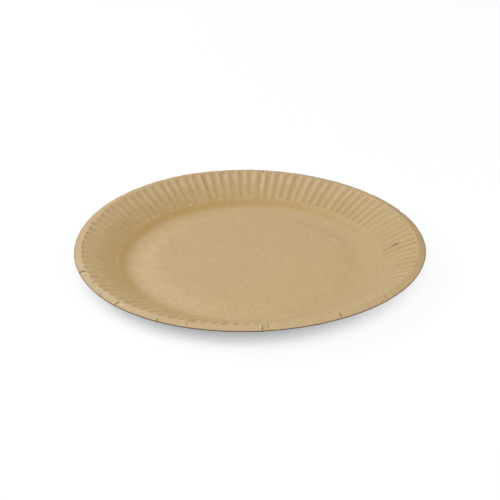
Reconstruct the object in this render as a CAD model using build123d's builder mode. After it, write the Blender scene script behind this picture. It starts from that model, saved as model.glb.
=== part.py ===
from math import atan, cos, pi, radians, sin, tan
import os

from build123d import *

os.makedirs("parts", exist_ok=True)

# Overall sizes of the pressed paperboard plate, in millimetres
plate_diameter = 230.0  # across the cut edge of the lip
plate_height = 15.0  # from the table to the fold of the rim
board_thickness = 0.45

# Base: a flat middle that stands a little higher than the foot ring around it
centre_rise = 2.2
step_run = 9.0  # radial length of the shallow step from the middle down to the foot ring
foot_width = 3.0  # radial width of the flat ring that stands on the table
base_bend_radius = 20.0  # underside of the bend from the foot ring into the wall

# Wall and rim
wall_angle = 26.0  # slope of the fluted wall, in degrees
lip_width = 5.0  # from the fold of the rim out to the cut edge
lip_angle = 22.0  # downward slope of the lip, in degrees

# Flutes pressed into the upper face of the wall
flute_count = 100
flute_width_share = 0.7  # width of a flute's mouth as a share of its pitch
flute_depth = 0.9
flute_foot_margin = 2.8  # plain wall left below a flute
flute_rim_margin = 0.5  # plain wall left between a flute and the fold of the rim
flank_angle = 50.0  # lean of a flute's sides and ends, away from square to the wall, in degrees

# Section of the underside, worked out from the rim inwards
slope = radians(wall_angle)
lip_slope = radians(lip_angle)
fold_radius = plate_diameter / 2 - lip_width
fold_rise = board_thickness * cos((slope - lip_slope) / 2) / cos((slope + lip_slope) / 2)
fold_height = plate_height - fold_rise
edge_radius = plate_diameter / 2 - board_thickness * sin(lip_slope)
edge_height = fold_height - (edge_radius - fold_radius) * tan(lip_slope)
bend_height = base_bend_radius * (1 - cos(slope))
wall_run = (fold_height - bend_height) / tan(slope)
wall_radius = fold_radius - wall_run
foot_outer_radius = wall_radius - base_bend_radius * sin(slope)
foot_inner_radius = foot_outer_radius - foot_width
centre_radius = foot_inner_radius - step_run

# Upper face of the wall: local X runs up the slope, local Y round the plate, local Z out of the board
face_radius = wall_radius - board_thickness * sin(slope)
face_height = bend_height + board_thickness * cos(slope)
wall_face = Plane(
    origin=(face_radius, 0, face_height),
    x_dir=(cos(slope), 0, sin(slope)),
    z_dir=(-sin(slope), 0, cos(slope)),
)

# Outline of one flute on that face: its sides splay as the pitch grows towards the rim
flank = radians(flank_angle)
flute_splay = atan(flute_width_share * pi * cos(slope) / flute_count)
flute_low = flute_foot_margin
flute_high = wall_run / cos(slope) - flute_rim_margin


def flute_corners(level, growth):
    """Corners of a flute's outline at a level above the wall's face, grown evenly to all sides."""
    spread = growth + level * tan(flank)
    corners = []
    for along in (flute_low - spread, flute_high + spread):
        mouth = flute_width_share * pi * (face_radius + along * cos(slope)) / flute_count
        half_width = mouth + spread / cos(flute_splay)
        for side in (-1, 1):
            corners.append(wall_face.from_local_coords((along, side * half_width, level)))
    return corners


# Trough that one flute presses into the wall's upper face
with BuildPart() as flute_trough:
    ConvexPolyhedron(flute_corners(-flute_depth, 0) + flute_corners(board_thickness, 0))

# Rib that the same flute raises under the wall, one board's thickness outside the trough
rib_depth = flute_depth + board_thickness
rib_growth = board_thickness / cos(flank)
rib_top = board_thickness / 2
with BuildPart() as flute_rib:
    ConvexPolyhedron(flute_corners(-rib_depth, rib_growth) + flute_corners(-rib_top, rib_growth))

# Plate: the board's section turned about the axis, with the flutes pressed through the wall
with BuildPart() as plate:
    with BuildSketch(Plane.XZ):
        with BuildLine():
            with BuildLine(mode=Mode.PRIVATE) as underside:
                base = Polyline((0, centre_rise), (centre_radius, centre_rise), (foot_inner_radius, 0))
                foot = Line(base @ 1, (foot_outer_radius, 0))
                bend = TangentArc(foot @ 1, (wall_radius, bend_height), tangent=foot % 1)
                Polyline(bend @ 1, (fold_radius, fold_height), (edge_radius, edge_height))
            offset(underside.line, amount=board_thickness, kind=Kind.INTERSECTION, side=Side.LEFT, closed=True)
        make_face()
    revolve(axis=Axis.Z)
    with PolarLocations(0, flute_count):
        add(flute_rib.part)
    with PolarLocations(0, flute_count):
        add(flute_trough.part, mode=Mode.SUBTRACT)

plate.part.label = "plate"
export_step(plate.part, "parts/plate.step")
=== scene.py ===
import math

import bpy
import numpy as np
from mathutils import Matrix, Vector


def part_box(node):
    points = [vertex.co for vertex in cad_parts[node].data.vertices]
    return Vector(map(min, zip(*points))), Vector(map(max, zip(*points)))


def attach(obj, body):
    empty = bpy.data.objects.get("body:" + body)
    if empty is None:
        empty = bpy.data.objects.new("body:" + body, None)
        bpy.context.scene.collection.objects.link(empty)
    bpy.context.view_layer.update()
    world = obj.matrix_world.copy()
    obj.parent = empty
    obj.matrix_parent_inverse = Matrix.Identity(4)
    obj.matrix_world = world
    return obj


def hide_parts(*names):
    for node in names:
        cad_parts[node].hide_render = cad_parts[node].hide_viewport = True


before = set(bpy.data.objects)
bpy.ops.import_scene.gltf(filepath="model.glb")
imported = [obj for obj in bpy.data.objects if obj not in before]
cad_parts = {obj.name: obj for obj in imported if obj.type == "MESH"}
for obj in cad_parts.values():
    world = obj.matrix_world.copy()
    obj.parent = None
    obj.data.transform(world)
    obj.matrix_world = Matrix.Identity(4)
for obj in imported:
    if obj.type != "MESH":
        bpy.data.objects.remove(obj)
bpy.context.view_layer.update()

plate_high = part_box("plate")[1]

# Sizes of the pressed board, in millimetres
MM = 0.001
RIM_RADIUS = plate_high.x / MM
RIM_HEIGHT = plate_high.z / MM
BOARD_THICKNESS = 0.45
MIDDLE_RADIUS = 57.0  # the flat, raised middle
FOOT_RADIUS = 75.5  # the lowest ring, which stands on the table
LIP_WIDTH = 5.0
LIP_SLOPE = math.radians(19.5)
FOLD_RADIUS = RIM_RADIUS - LIP_WIDTH
FOLD_SOFTNESS = 0.2  # how far the fold of the rim is rounded off
CUT_BAND = 0.25  # width of the band along the edge that takes the cut edge's dark material, partly painted shade

# Slope of the upper face in degrees at some radii: middle, step down to the foot ring, bend, and a wall
# that flattens towards the fold
SECTION = (
    (0.0, 0.0),
    (MIDDLE_RADIUS, 0.0),
    (67.0, -13.5),
    (FOOT_RADIUS, 0.0),
    (84.8, 28.4),
    (97.0, 28.4),
    (FOLD_RADIUS, 17.2),
    (RIM_RADIUS, 17.2),
)
SECTION_PITCH = 0.05

# Flutes of the wall: troughs with narrow ridges between them
FLUTE_COUNT = 100
FLUTE_PITCH = 2 * math.pi / FLUTE_COUNT
FLUTE_LOW = 86.9  # radius where the troughs begin
FLUTE_HIGH = FOLD_RADIUS + 0.3  # and where they end, so that they notch the fold a little
FLUTE_DEPTH = 1.15
FLUTE_SHARE = 0.86  # width of a trough's mouth as a share of the pitch
FLUTE_FLOOR = 0.18  # and of its floor
FLUTE_RAMP = 2.0  # length of a trough's run-out at each end
SOFT_RAMP = 3.0  # how much longer the run-out to the fold is at the back left
SOFT_SIDE = math.radians(142)
SOFT_SPREAD = math.radians(26)
NOTCH_REACH = 1.0  # how much further the troughs run over the fold at the left front
NOTCH_SIDE = math.radians(213)
NOTCH_SPREAD = math.radians(32)
FAINT_SHARE = 0.28  # depth at a trough's low end, as a share, where the press has left it faint
CLEAR_SIDE = math.radians(42)  # the side of the plate where the troughs keep their depth
CLEAR_SPREAD = math.radians(36)
CLEAR_MARGIN = 5.0  # radial distance from a trough's ends over which its depth stays even
FINE_SHARE = 0.65  # how much shallower the troughs are at the right back, where each carries two lines of painted shade
FINE_SIDE = math.radians(20)
FINE_SPREAD = math.radians(15)
FLANK_SHADE_OFFSET = 0.18  # the places across a trough of the two lines of painted shade, and their half width, in pitches
SECOND_OFFSET = -0.3
FLANK_SHADE_WIDTH = 0.1
LIP_RIPPLE = 0.09  # height of the ripples that the flutes leave in the lip
RIPPLE_EDGE = 0.5  # half width of a ripple and of its crest, as shares of the pitch
RIPPLE_CREST = 0.1
RIPPLE_RAMP = 1.5

# How unevenly the press has worked from flute to flute
DEPTH_SPREAD = 0.14  # shares of a trough's depth and width
WIDTH_SPREAD = 0.04
LOW_SPREAD = 0.35  # millimetres at its low and its high end
HIGH_SPREAD = 0.25
DRIFT_SPREAD = 0.035  # share of the pitch
FAINT_SPREAD = 0.08

# Painted shade, as shares of the deep brown that stands for it: in the bend, on the wall and lip that face
# away from the light, in the troughs and along them, and along the cut edge, where part of it is the edge's
# own darker tone
BEND_SHADE = 0.255  # painted shade in the concave bend above the foot, deepest at the back left
BEND_RADIUS = 83.2
BEND_REACH = 3.3
BEND_OUTER_REACH = 4.62
BEND_SIDE = math.radians(135)
BEND_SWING = 0.53
WALL_SHADE = 0.075  # painted shade on the lower wall, most at the left front, where it faces away from the light
WALL_FULL = FLUTE_LOW + 2.0
WALL_FADE = 94.0
WALL_END = 104.0
WALL_SIDE = math.radians(200)
LIP_SHADE = 0.19  # painted shade on the lip, most at the back, where it faces away from the light
LIP_RAMP = 0.6
LIP_SIDE = math.radians(74)
EDGE_DARKENING = 0.45  # along the cut edge: partly the edge's own darker tone, partly painted shade
EDGE_REACH = 1.2
FLUTE_SHADE = 0.125  # painted shade in the troughs
FLANK_SHADE = 0.42  # painted shade: dark lines along the troughs at the right, for their shaded flanks
FLANK_SHADE_SIDE = math.radians(2)
FLANK_SHADE_SPREAD = math.radians(36)

# Painted highlights and sheen, as shares of the pale colour that also shows torn and rubbed fibres among the
# wear
RIDGE_HIGHLIGHT = 0.085  # painted highlight on the upper wall's ridges, most at the back
RIDGE_START = 96.0
RIDGE_FULL = 103.0
RIDGE_FADE = FOLD_RADIUS - 1.5
RIDGE_SIDE = math.radians(100)
RIDGE_SWING = 0.7
HOLLOW_SHARE = 0.5  # how much less of that painted highlight the troughs get than the ridges
LIP_SHEEN = 0.05  # painted sheen on the lip, most at the front
RING_SHEEN = 0.06  # painted sheen on the ring that stands on the table, most at the back right and the left front
RING_RADIUS = 71.0
RING_REACH = 6.0
RING_SIDE = math.radians(50)
RING_EVEN = 0.45
RING_SWING = 0.55
FOOT_HIGHLIGHT = 0.42  # painted highlights on the low ends of the troughs at the back left, whose run-outs face the light
FOOT_SIDE = math.radians(143)
FOOT_SPREAD = math.radians(52)
FOOT_RISE = 0.4  # the painted highlight's place above the trough's low end, and its radial half length
FOOT_REACH = 0.6
FOOT_EDGE = 0.4  # half width of the spot and of its middle, as shares of the pitch
FOOT_CREST = 0.15

# The board has sprung a little out of true: heights of the rim's slow waves
RIM_TWIST = -1.15
RIM_SAG = -0.82
RIM_TILT = -0.3
SPRING_POWER = 1.5  # how fast the waves grow from the foot ring to the rim

# Mesh: rows of faces from the cut edge inwards, each band as its inner radius and its number of rows
SEGMENTS = 10 * FLUTE_COUNT
BANDS = (
    (RIM_RADIUS - CUT_BAND, 1),
    (FOLD_RADIUS + 0.9, 4),
    (FOLD_RADIUS - 0.6, 4),
    (FOLD_RADIUS - 2.8, 4),
    (FLUTE_LOW + 3.2, 7),
    (FLUTE_LOW - 0.2, 6),
    (FOOT_RADIUS, 6),
    (MIDDLE_RADIUS, 7),
    (10.0, 2),
)
WEAR_CUTS = 2  # extra cuts across a face at the wear
WEAR_MARGIN = 0.4
SHARP_ANGLE = math.radians(50)

# Wear: lines of (angle in degrees from the photograph's right, radius in millimetres), half width, height
# # (below zero for a groove), and how much each darkens and whitens the board. The darkening is painted shade
# in
# # the cracks, nicks, grooves and dents; the whitening is torn and rubbed fibres, and painted highlight at
# the
# # troughs' feet.
WEAR = {
    "lip crack, left": (((199.1, 115.0), (199.2, 113.4), (199.9, 111.4)), 0.7, -0.3, 1.0, 0.0),
    "torn fibres beside the lip crack": (((199.9, 113.6), (200.3, 112.4)), 0.45, 0.12, 0.0, 0.9),
    "first crease after it": (((204.6, 110.6), (205.4, 112.6)), 0.4, 0.12, 0.0, 0.4),
    "nick between the creases": (((208.4, 111.0), (209.2, 112.8)), 0.35, -0.2, 0.35, 0.0),
    "second crease after it": (((211.5, 111.4), (212.4, 113.4)), 0.4, 0.12, 0.0, 0.4),
    "nick in the edge, left": (((215.6, 113.4), (216.0, 114.9)), 0.35, -0.25, 0.5, 0.0),
    "crease, left front": (((222.2, 111.6), (223.0, 114.0)), 0.4, 0.15, 0.0, 0.6),
    "crack, left front": (((223.8, 115.0), (223.9, 112.2)), 0.38, -0.3, 0.9, 0.0),
    "second arm of that crack": (((223.8, 114.0), (224.5, 111.7)), 0.3, -0.2, 0.7, 0.0),
    "torn fibres, left front": (((225.4, 112.6), (226.6, 112.3)), 0.5, 0.12, 0.0, 0.8),
    "rubbed spot after them": (((227.8, 112.6), (228.3, 112.6)), 0.45, 0.1, 0.0, 0.6),
    "nick in the edge, front": (((240.8, 113.4), (241.0, 114.9)), 0.38, -0.3, 0.8, 0.0),
    "rubbed spot, front": (((249.8, 113.2), (250.3, 113.0)), 0.6, 0.1, 0.0, 0.6),
    "nick beside that spot": (((250.0, 111.4), (250.6, 112.7)), 0.3, -0.2, 0.45, 0.0),
    "first front crack": (((273.9, 109.6), (273.7, 111.6), (273.6, 114.7)), 0.35, -0.3, 0.65, 0.0),
    "second front crack": (((275.5, 112.6), (275.8, 109.2)), 0.32, -0.25, 0.55, 0.0),
    "scratch between them": (((274.3, 110.2), (274.8, 111.4), (274.6, 112.4)), 0.3, -0.2, 0.3, 0.0),
    "torn fibres right of them": (((276.4, 109.4), (276.1, 111.9)), 0.4, 0.1, 0.0, 0.8),
    "torn fibres left of them": (((273.1, 110.8), (273.0, 112.6)), 0.4, 0.12, 0.0, 0.8),
    "nick, right front": (((298.9, 110.5), (298.7, 113.6)), 0.35, -0.3, 0.85, 0.0),
    "rubbed spot beside that nick": (((296.9, 112.6), (297.3, 112.2)), 0.6, 0.1, 0.0, 0.5),
    "dent, right front": (((317.4, 112.4), (317.7, 112.0)), 0.5, -0.25, 0.5, 0.0),
    "crease in the right wall": (((3.5, 88.6), (3.9, 95.1)), 0.3, -0.15, 0.35, 0.0),
    "torn upper end of that crease": (((3.9, 95.1), (4.0, 97.2)), 0.38, -0.25, 1.0, 0.0),
    "hook at its end": (((4.0, 97.2), (2.6, 98.2)), 0.3, -0.15, 0.4, 0.0),
    "torn spot beside it": (((1.9, 97.6), (2.1, 97.8)), 0.5, 0.15, 0.0, 0.8),
    "rubbed ridge, right": (((335.3, 100.0), (335.5, 106.0)), 0.45, 0.1, 0.0, 0.35),
    "rubbed ridge, right front": (((329.8, 94.0), (330.0, 100.0)), 0.45, 0.1, 0.0, 0.3),
    "crease in the back wall": (((108.8, 108.0), (108.2, 95.9)), 0.3, -0.2, 0.6, 0.0),
    "rubbed flute, back": (((85.1, 95.5), (84.5, 107.0)), 0.5, 0.1, 0.0, 0.6),
    "dent in the back fold": (((84.8, 109.5), (84.8, 110.5)), 0.5, -0.25, 0.6, 0.0),
    "rubbed spot on the back fold": (((120.8, 109.0), (121.4, 109.6)), 0.6, 0.1, 0.0, 0.7),
    # the pale marks at the troughs' feet are painted highlights on their run-outs, which face the light
    "rubbed foot of a flute, back": (((118.8, 87.2), (119.2, 87.2)), 0.7, 0.1, 0.0, 0.6),
    "rubbed foot of a flute, left": (((180.6, 87.1), (181.0, 87.1)), 0.8, 0.1, 0.0, 0.45),
    "rubbed foot of the next flute": (((184.2, 86.9), (184.5, 86.9)), 0.8, 0.1, 0.0, 0.45),
}

# Kraft board: sizes of its patterns in millimetres
CLOUD_SIZE = 9.0
FIBRE_SIZE = 0.95
FIBRE_RUN = 0.4  # the pattern's scale along the way the paper ran, so that fibres are longer than wide
FIBRE_RELIEF = 0.06

# Studio: sizes in millimetres, strengths at which a colour renders about as written
FLOOR_SIZE = 6000.0
FLOOR_COLOUR = "#EDF1F6"
SEEN_FLOOR_COLOUR = "#595B5D"
FLOOR_GLOW = 0.9  # what the floor lacks to white
SHADOW_TINT = "#F6F9FF"
COVER_REACH = 70.0  # how near the plate has to be to shade the ground's glow
COVER_FADE = 0.136  # open share of the sky at which most of the glow is back
COVER_SAMPLES = 16
SKY_TILT = math.radians(3)  # the light that fills the shadow comes a little more from the right
WORLD_STRENGTH = 0.05
WHITE = "#FFFFFF"
WINDOW_WHITE = "#EAF2FF"
LAMP_SIZE = 900.0
LAMP_DISTANCE = 1400.0

# Soft boxes: name, azimuth and elevation in degrees, watts and colour
LAMPS = (
    ("soft_box_left_back", 135, 35, 11.9, WINDOW_WHITE),
    ("soft_box_left", 180, 35, 8.95, WINDOW_WHITE),
    ("soft_box_right_front", 315, 35, 12.0, WHITE),
    ("soft_box_front", 270, 60, 5.0, WHITE),
)

# Camera: it looks at a point a little below the centre of the lip's cut edge
CAMERA_DISTANCE = 954.5
CAMERA_ELEVATION = math.radians(27.36)
CAMERA_AZIMUTH = math.radians(0.5)
CAMERA_ROLL = math.radians(-0.222)
AIM_BELOW = math.radians(0.246)
EDGE_LEVEL = 12.75  # height of the cut edge over the table
IMAGE_WIDTH = 500
FOCAL_PIXELS = 1452.5
SENSOR = 36.0

random = np.random.RandomState(7)


def smooth_step(low, high, value):
    """0 at low, 1 at high and an S-curve between, on numbers or arrays; low may lie above high."""
    share = np.clip((value - low) / (high - low), 0, 1)
    return share * share * (3 - 2 * share)


def bell(distance, reach):
    """1 at no distance, falling off evenly to both sides."""
    return np.exp(-((distance / reach) ** 2))


def angle_from(side, angle):
    """How far an angle lies from a side of the plate, between half a turn back and half a turn on."""
    return (angle - side + np.pi) % (2 * np.pi) - np.pi


def face_slope(radius):
    """Slope of the upper face at a radius, in radians."""
    return np.radians(np.interp(radius, [row[0] for row in SECTION], [row[1] for row in SECTION]))


def sum_up_section():
    """Heights of the base and the wall over the table, summed up from the slopes and stretched to the rim."""
    radii = np.arange(0, RIM_RADIUS + SECTION_PITCH, SECTION_PITCH)
    heights = np.cumsum(np.tan(face_slope(radii))) * SECTION_PITCH
    heights -= heights.min()
    stretch = (RIM_HEIGHT - BOARD_THICKNESS) / np.interp(FOLD_RADIUS, radii, heights)
    return radii, BOARD_THICKNESS + heights * np.where(radii > FOOT_RADIUS, stretch, 1)


SECTION_RADII, SECTION_HEIGHTS = sum_up_section()


def face_height(radius):
    """Height of the board's upper face at a radius, before the flutes are pressed."""
    wall = np.interp(radius, SECTION_RADII, SECTION_HEIGHTS)
    lip = RIM_HEIGHT - (radius - FOLD_RADIUS) * math.tan(LIP_SLOPE)
    return -FOLD_SOFTNESS * np.logaddexp(-wall / FOLD_SOFTNESS, -lip / FOLD_SOFTNESS)


def turned_blank():
    """The flat board as rings of points from the cut edge to the middle, close where it will be bent."""
    bpy.ops.object.select_all(action="DESELECT")
    bpy.ops.mesh.primitive_circle_add(vertices=SEGMENTS, radius=RIM_RADIUS * MM)
    plate = bpy.context.object
    plate.name = plate.data.name = "pressed_plate"
    bpy.ops.object.mode_set(mode="EDIT")
    bpy.ops.mesh.select_mode(type="EDGE")
    bpy.ops.mesh.select_all(action="SELECT")
    outer = RIM_RADIUS
    for band_inner, rows in BANDS:
        for inner in np.linspace(outer, band_inner, rows + 1)[1:]:
            bpy.ops.mesh.extrude_region_move()
            bpy.ops.transform.resize(value=(inner / outer, inner / outer, 1))
            outer = inner
    bpy.ops.mesh.extrude_region_move()
    bpy.ops.mesh.merge(type="CENTER")
    bpy.ops.mesh.select_all(action="SELECT")
    bpy.ops.mesh.normals_make_consistent(inside=False)
    bpy.ops.object.mode_set(mode="OBJECT")
    return plate


def distance_to_line(points, line):
    """Distance of points in the plate's plan from a line of (angle, radius) corners."""
    corners = []
    for angle, radius in line:
        turn = math.radians(angle) + CAMERA_AZIMUTH
        corners.append((radius * math.cos(turn), radius * math.sin(turn)))
    nearest = np.full(len(points), np.inf)
    for start, end in zip(np.array(corners[:-1]), np.array(corners[1:])):
        run = end - start
        share = np.clip((points - start) @ run / (run @ run), 0, 1)
        nearest = np.minimum(nearest, np.linalg.norm(points - start - share[:, None] * run, axis=1))
    return nearest


def mesh_points(plate):
    """The mesh's points, in millimetres."""
    points = np.empty(3 * len(plate.data.vertices))
    plate.data.vertices.foreach_get("co", points)
    return points.reshape(-1, 3) / MM


def face_centres(plate):
    """The middles of the mesh's faces in plan, in millimetres."""
    centres = np.empty(3 * len(plate.data.polygons))
    plate.data.polygons.foreach_get("center", centres)
    return centres.reshape(-1, 3)[:, :2] / MM


def mark_cut_band(plate):
    """Gives a narrow band along the edge the cut edge's dark material, which is partly painted shade."""
    dark_edge_band = np.linalg.norm(face_centres(plate), axis=1) > RIM_RADIUS - CUT_BAND
    plate.data.polygons.foreach_set("material_index", dark_edge_band.astype(int))


def refine_at_wear(plate):
    """Cuts the mesh finer where the board is cracked, nicked or rubbed."""
    centres = face_centres(plate)
    chosen = np.zeros(len(centres), bool)
    for line, half_width, *_ in WEAR.values():
        chosen |= distance_to_line(centres, line) < 2 * half_width + WEAR_MARGIN
    bpy.ops.object.mode_set(mode="EDIT")
    bpy.ops.mesh.select_mode(type="FACE")
    bpy.ops.mesh.select_all(action="DESELECT")
    bpy.ops.object.mode_set(mode="OBJECT")
    plate.data.polygons.foreach_set("select", chosen)
    bpy.ops.object.mode_set(mode="EDIT")
    bpy.ops.mesh.subdivide(number_cuts=WEAR_CUTS)
    bpy.ops.object.mode_set(mode="OBJECT")


def flutes(radius, angle):
    """How far the press pushes the wall in and ripples the lip, in millimetres, and shares of 1 for the
    trough, for the lines of painted shade along it and for the painted highlight on its low end."""
    depths = FLUTE_DEPTH * (1 + DEPTH_SPREAD * random.standard_normal(FLUTE_COUNT))
    widths = FLUTE_SHARE * (1 + WIDTH_SPREAD * random.standard_normal(FLUTE_COUNT))
    lows = FLUTE_LOW + LOW_SPREAD * random.random_sample(FLUTE_COUNT)
    notches = bell(angle_from(NOTCH_SIDE, FLUTE_PITCH * np.arange(FLUTE_COUNT)), NOTCH_SPREAD)
    highs = FLUTE_HIGH + NOTCH_REACH * notches + HIGH_SPREAD * random.standard_normal(FLUTE_COUNT)
    drifts = DRIFT_SPREAD * random.standard_normal(FLUTE_COUNT)
    faints = FAINT_SHARE + FAINT_SPREAD * random.standard_normal(FLUTE_COUNT)
    ripples = LIP_RIPPLE * random.standard_normal(FLUTE_COUNT)
    foot_highlights = FOOT_HIGHLIGHT * random.random_sample(FLUTE_COUNT)
    flute = np.rint(angle / FLUTE_PITCH).astype(int) % FLUTE_COUNT
    offset = (angle / FLUTE_PITCH + 0.5) % 1 - 0.5 - drifts[flute]
    across = np.abs(offset)

    clear = bell(angle_from(CLEAR_SIDE, angle), CLEAR_SPREAD)
    low_share = faints[flute] + (1 - faints[flute]) * clear
    upwards = smooth_step(FLUTE_LOW + CLEAR_MARGIN, FLUTE_HIGH - CLEAR_MARGIN, radius)
    along = low_share + (1 - low_share) * upwards
    along *= smooth_step(lows[flute], lows[flute] + FLUTE_RAMP, radius)
    high_ramp = FLUTE_RAMP + SOFT_RAMP * bell(angle_from(SOFT_SIDE, angle), SOFT_SPREAD)
    along *= smooth_step(highs[flute], highs[flute] - high_ramp, radius)
    trough = along * smooth_step(widths[flute] / 2, FLUTE_FLOOR / 2, across)
    fine = bell(angle_from(FINE_SIDE, angle), FINE_SPREAD)
    depth = depths[flute] * (1 - FINE_SHARE * fine)
    ripple = ripples[flute] * smooth_step(RIPPLE_EDGE, RIPPLE_CREST, across)
    ripple *= smooth_step(FOLD_RADIUS, FOLD_RADIUS + RIPPLE_RAMP, radius)

    # lines of painted shade along each trough, for its shaded flanks, two of them at the right
    crease = bell(offset - FLANK_SHADE_OFFSET, FLANK_SHADE_WIDTH)
    crease += fine * bell(offset - SECOND_OFFSET, FLANK_SHADE_WIDTH)
    crease *= np.sqrt(along)
    # painted highlight on each trough's low end, which faces the light at the back left
    foot = bell(radius - lows[flute] - FOOT_RISE, FOOT_REACH) * smooth_step(FOOT_EDGE, FOOT_CREST, across)
    foot *= foot_highlights[flute] * bell(angle_from(FOOT_SIDE, angle), FOOT_SPREAD)
    return depth * trough + ripple, trough, crease, foot


def shades(radius, angle, trough, crease, foot):
    """How much painted shade darkens the board, and how much painted highlights and sheen make it pale."""
    bend = bell(radius - BEND_RADIUS, np.where(radius < BEND_RADIUS, BEND_REACH, BEND_OUTER_REACH))
    wall = smooth_step(BEND_RADIUS, WALL_FULL, radius) * smooth_step(WALL_END, WALL_FADE, radius)
    upper_wall = smooth_step(RIDGE_START, RIDGE_FULL, radius) * smooth_step(FOLD_RADIUS, RIDGE_FADE, radius)
    lip = smooth_step(FOLD_RADIUS, FOLD_RADIUS + LIP_RAMP, radius)
    edge = smooth_step(RIM_RADIUS - EDGE_REACH, RIM_RADIUS, radius)
    ring = bell(radius - RING_RADIUS, RING_REACH)
    # painted shade in the bend, on the wall and lip that face away from the light, in the troughs and along
    # their flanks; along the cut edge part of it is the edge's own darker tone
    painted_shade = BEND_SHADE * bend * (1 + BEND_SWING * np.cos(angle - BEND_SIDE))
    painted_shade += WALL_SHADE * wall * (1 + np.cos(angle - WALL_SIDE))
    painted_shade += LIP_SHADE * lip * (1 + np.cos(angle - LIP_SIDE))
    painted_shade += EDGE_DARKENING * edge + FLUTE_SHADE * trough
    painted_shade += FLANK_SHADE * crease * bell(angle_from(FLANK_SHADE_SIDE, angle), FLANK_SHADE_SPREAD)
    # painted highlights and sheen on the upper wall's ridges, the front of the lip and the ring that stands
    # on the table
    rub_and_highlight = RIDGE_HIGHLIGHT * upper_wall * (1 - HOLLOW_SHARE * trough)
    rub_and_highlight *= 1 + RIDGE_SWING * np.cos(angle - RIDGE_SIDE)
    rub_and_highlight += LIP_SHEEN * lip * (1 - np.sin(angle))
    rub_and_highlight += RING_SHEEN * ring * np.clip(RING_EVEN + RING_SWING * np.cos(2 * (angle - RING_SIDE)), 0, 1)
    return painted_shade, rub_and_highlight + foot


def press(plate):
    """Presses the board to its section, flutes and wear, and lets the rim spring a little out of true."""
    points = mesh_points(plate)
    radius = np.hypot(points[:, 0], points[:, 1])
    angle = np.arctan2(points[:, 1], points[:, 0])
    pushed_in, trough, crease, foot = flutes(radius, angle)
    painted_shade, rub_and_highlight = shades(radius, angle, trough, crease, foot)
    torn = np.zeros(len(points))
    raised = -pushed_in
    # wear: grooves and bumps, painted shade in the cracks, nicks, grooves and dents, and pale marks
    for line, half_width, height, dark, pale in WEAR.values():
        mark = bell(distance_to_line(points[:, :2], line), half_width)
        raised += height * mark
        torn = np.maximum(torn, dark * mark)
        rub_and_highlight = np.maximum(rub_and_highlight, pale * mark)
    slope = np.where(radius < FOLD_RADIUS, face_slope(radius), -LIP_SLOPE)
    lift = np.clip((radius - FOOT_RADIUS) / (RIM_RADIUS - FOOT_RADIUS), 0, None) ** SPRING_POWER
    spring = RIM_TWIST * np.sin(2 * angle) + RIM_SAG * np.cos(2 * angle) + RIM_TILT * np.sin(angle) ** 3
    outwards = radius - raised * np.sin(slope)
    points[:, 0] = outwards * np.cos(angle)
    points[:, 1] = outwards * np.sin(angle)
    points[:, 2] = face_height(radius) + lift * spring + raised * np.cos(slope)
    plate.data.vertices.foreach_set("co", (points * MM).ravel())
    # shares stored on the mesh: painted shade; pale rubbing with painted highlights and sheen; painted shade
    # in the cracks and nicks
    for name, values in (("painted_shade", painted_shade), ("rub_and_highlight", rub_and_highlight), ("torn", torn)):
        plate.data.attributes.new(name, "FLOAT", "POINT").data.foreach_set("value", values)
    plate.data.update()


def give_thickness(plate):
    """Adds the board's lower face and its square-cut edge."""
    bpy.ops.object.modifier_add(type="SOLIDIFY")
    thickness = plate.modifiers[-1]
    thickness.thickness = BOARD_THICKNESS * MM
    thickness.offset = -1
    thickness.material_offset_rim = 1
    bpy.ops.object.modifier_apply(modifier=thickness.name)
    bpy.ops.object.shade_smooth_by_angle(angle=SHARP_ANGLE)


def linear(code):
    """An sRGB hex colour as the linear values that a shader takes."""
    parts = [int(code[i : i + 2], 16) / 255 for i in (1, 3, 5)]
    return [c / 12.92 if c <= 0.04045 else ((c + 0.055) / 1.055) ** 2.4 for c in parts] + [1.0]


def add_node(tree, kind, inputs=None, **settings):
    """Adds a node, with its settings, and its inputs as values or as links from other sockets."""
    made = tree.nodes.new(kind)
    for name, value in settings.items():
        setattr(made, name, value)
    for name, value in (inputs or {}).items():
        if isinstance(value, bpy.types.NodeSocket):
            tree.links.new(value, made.inputs[name])
        else:
            made.inputs[name].default_value = value
    return made


def new_material(name):
    """An empty material with its output node."""
    material = bpy.data.materials.new(name)
    material.use_nodes = True
    material.node_tree.nodes.clear()
    output = add_node(material.node_tree, "ShaderNodeOutputMaterial")
    return material, material.node_tree, output


def mix_colours(tree, share, first, second):
    """A colour mixed of two by a share; returns its socket."""
    mixed = add_node(tree, "ShaderNodeMix", {"Factor": share, 6: first, 7: second}, data_type="RGBA")
    return mixed.outputs[2]


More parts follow.
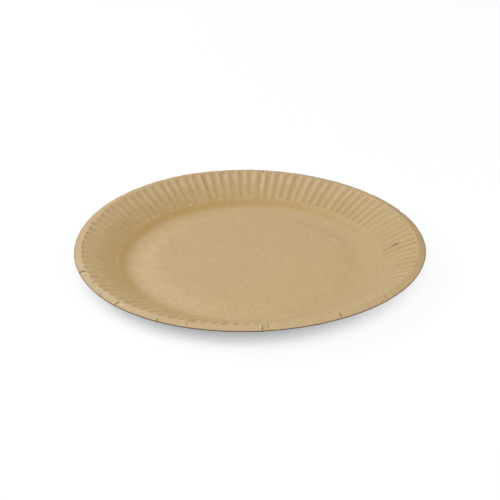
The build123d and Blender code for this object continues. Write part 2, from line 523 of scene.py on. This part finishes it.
def kraft_board():
    """Unbleached kraft board, calendered and hot-pressed: a matt brown sheet with a faint sheen, clouded
    where its fibres lie thicker and streaked along the way the paper ran. Painted shade browns it in the
    bend, on its shaded sides, in its troughs and along its edge, painted highlights and sheen make it pale,
    rubbing and tearing leave pale fibres, and painted shade darkens its cracks. The fibres are drawn about
    thirty times coarser than the real 0.03 mm ones, which no picture of a whole plate shows."""
    material, tree, output = new_material("kraft_board_pressed")
    place = add_node(tree, "ShaderNodeTexCoord").outputs["Object"]
    clouds = add_node(
        tree, "ShaderNodeTexNoise", {"Vector": place, "Scale": 1 / (CLOUD_SIZE * MM), "Detail": 3.0}
    )
    tone = mix_colours(tree, clouds.outputs["Fac"], linear("#B2966A"), linear("#C2A679"))
    run = add_node(tree, "ShaderNodeMapping", {"Vector": place, "Scale": (FIBRE_RUN, 1, 1)})
    fibres = add_node(
        tree,
        "ShaderNodeTexNoise",
        {"Vector": run.outputs[0], "Scale": 1 / (FIBRE_SIZE * MM), "Detail": 4.0, "Roughness": 0.65},
    )
    light_fibres = add_node(
        tree,
        "ShaderNodeMapRange",
        {"Value": fibres.outputs["Fac"], "From Min": 0.3, "From Max": 0.7, "To Min": 0.0, "To Max": 1.0},
    )
    fibre_tone = mix_colours(tree, light_fibres.outputs[0], linear("#A68A5D"), linear("#CCB083"))
    tone = mix_colours(tree, 0.5, tone, fibre_tone)
    # the mesh's shares tint the board deep brown for painted shade, pale for rubbing and painted highlights
    # and sheen, and near black for painted shade in the cracks and nicks
    for name, colour in (("painted_shade", "#A17900"), ("rub_and_highlight", "#D2C4A8"), ("torn", "#33200F")):
        share = add_node(tree, "ShaderNodeAttribute", attribute_name=name)
        tone = mix_colours(tree, share.outputs["Fac"], tone, linear(colour))
    relief = add_node(
        tree,
        "ShaderNodeBump",
        {"Height": fibres.outputs["Fac"], "Strength": 0.25, "Distance": FIBRE_RELIEF * MM},
    )
    shader = add_node(
        tree,
        "ShaderNodeBsdfPrincipled",
        {"Base Color": tone, "Roughness": 0.6, "Specular IOR Level": 0.25, "Normal": relief.outputs[0]},
    )
    tree.links.new(shader.outputs[0], output.inputs["Surface"])
    return material


def cut_edge():
    """The board's cut edge: sheared fibres, open, unglazed and dull; its dark colour is partly their own and
    partly painted shade.
    """
    material, tree, output = new_material("kraft_board_cut_edge")
    shader = add_node(
        tree, "ShaderNodeBsdfPrincipled", {"Base Color": linear("#3E2A17"), "Roughness": 0.9}
    )
    tree.links.new(shader.outputs[0], output.inputs["Surface"])
    return material


def build_plate():
    """The whole plate: flat blank, pressed section, thickness and materials."""
    plate = turned_blank()
    plate.data.materials.append(kraft_board())
    plate.data.materials.append(cut_edge())
    mark_cut_band(plate)
    refine_at_wear(plate)
    press(plate)
    give_thickness(plate)
    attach(plate, "root")
    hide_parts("plate")


def seen_share(tree):
    """1 for rays that show the background: from the camera, mirrored or let through."""
    rays = add_node(tree, "ShaderNodeLightPath")
    mirrored = add_node(
        tree,
        "ShaderNodeMath",
        {0: rays.outputs["Is Glossy Ray"], 1: rays.outputs["Is Transmission Ray"]},
        operation="MAXIMUM",
    )
    seen = add_node(
        tree,
        "ShaderNodeMath",
        {0: rays.outputs["Is Camera Ray"], 1: mirrored.outputs[0]},
        operation="MAXIMUM",
    )
    return seen.outputs[0]


def build_floor():
    """White ground with the plate's soft shadow: to the eye it glows, and less where the plate covers it."""
    bpy.ops.object.select_all(action="DESELECT")
    bpy.ops.mesh.primitive_plane_add(size=FLOOR_SIZE * MM)
    floor = bpy.context.object
    floor.name = "studio_floor"
    material, tree, output = new_material("white_ground")
    paint = add_node(tree, "ShaderNodeBsdfDiffuse", {"Color": linear(FLOOR_COLOUR)})
    thin_paint = add_node(tree, "ShaderNodeBsdfDiffuse", {"Color": linear(SEEN_FLOOR_COLOUR)})
    sky = add_node(tree, "ShaderNodeCombineXYZ", {"X": math.sin(SKY_TILT), "Z": math.cos(SKY_TILT)})
    reach = {"Distance": COVER_REACH * MM, "Normal": sky.outputs[0]}
    cover = add_node(tree, "ShaderNodeAmbientOcclusion", reach, samples=COVER_SAMPLES)
    openness = add_node(
        tree, "ShaderNodeMath", {0: cover.outputs["AO"], 1: -1 / COVER_FADE}, operation="MULTIPLY"
    )
    shade = add_node(tree, "ShaderNodeMath", {0: openness.outputs[0]}, operation="EXPONENT")
    level = add_node(
        tree,
        "ShaderNodeMath",
        {0: shade.outputs[0], 1: -FLOOR_GLOW, 2: FLOOR_GLOW},
        operation="MULTIPLY_ADD",
    )
    hue = mix_colours(tree, shade.outputs[0], linear(WHITE), linear(SHADOW_TINT))
    glow = add_node(tree, "ShaderNodeEmission", {"Color": hue, "Strength": level.outputs[0]})
    ground = add_node(tree, "ShaderNodeAddShader", {0: thin_paint.outputs[0], 1: glow.outputs[0]})
    shown = {0: seen_share(tree), 1: paint.outputs[0], 2: ground.outputs[0]}
    surface = add_node(tree, "ShaderNodeMixShader", shown)
    tree.links.new(surface.outputs[0], output.inputs["Surface"])
    floor.data.materials.append(material)


def build_world():
    """Even white surroundings."""
    world = bpy.data.worlds.new("studio")
    bpy.context.scene.world = world
    world.use_nodes = True
    tree = world.node_tree
    tree.nodes.clear()
    soft = add_node(tree, "ShaderNodeBackground", {"Color": linear(WHITE), "Strength": WORLD_STRENGTH})
    white = add_node(tree, "ShaderNodeBackground", {"Color": linear(WHITE), "Strength": 1.0})
    shown = {0: seen_share(tree), 1: soft.outputs[0], 2: white.outputs[0]}
    surroundings = add_node(tree, "ShaderNodeMixShader", shown)
    add_node(tree, "ShaderNodeOutputWorld", {"Surface": surroundings.outputs[0]})


def build_lamp(name, azimuth, elevation, power, colour):
    """A square soft box that faces the plate from a direction given in degrees."""
    lamp = bpy.data.lights.new(name, "AREA")
    lamp.size = LAMP_SIZE * MM
    lamp.energy = power
    lamp.color = linear(colour)[:3]
    holder = bpy.data.objects.new(name, lamp)
    bpy.context.collection.objects.link(holder)
    turn, tilt = math.radians(azimuth), math.radians(elevation)
    away = Vector((math.cos(turn) * math.cos(tilt), math.sin(turn) * math.cos(tilt), math.sin(tilt)))
    holder.location = LAMP_DISTANCE * MM * away
    holder.rotation_euler = (-away).to_track_quat("-Z", "Y").to_euler()


def build_camera():
    """The photograph's view: the camera turned to it by its own three axes."""
    camera = bpy.data.cameras.new("camera")
    camera.sensor_width = SENSOR
    camera.lens = FOCAL_PIXELS * SENSOR / IMAGE_WIDTH
    holder = bpy.data.objects.new("camera", camera)
    bpy.context.collection.objects.link(holder)
    turn = Matrix.Rotation(CAMERA_AZIMUTH, 3, "Z")
    away = turn @ Vector((0, -math.cos(CAMERA_ELEVATION), math.sin(CAMERA_ELEVATION)))
    dip = CAMERA_ELEVATION + AIM_BELOW
    back = turn @ Vector((0, -math.cos(dip), math.sin(dip)))
    right = turn @ Vector((1, 0, 0))
    up = back.cross(right)
    roll_right = math.cos(CAMERA_ROLL) * right + math.sin(CAMERA_ROLL) * up
    roll_up = math.cos(CAMERA_ROLL) * up - math.sin(CAMERA_ROLL) * right
    frame_axes = Matrix((roll_right, roll_up, back)).transposed().to_4x4()
    place = (Vector((0, 0, EDGE_LEVEL)) + CAMERA_DISTANCE * away) * MM
    holder.matrix_world = Matrix.Translation(place) @ frame_axes
    bpy.context.scene.camera = holder


build_plate()
build_floor()
build_world()
for lamp_row in LAMPS:
    build_lamp(*lamp_row)
build_camera()
bpy.context.scene.view_settings.view_transform = "Standard"
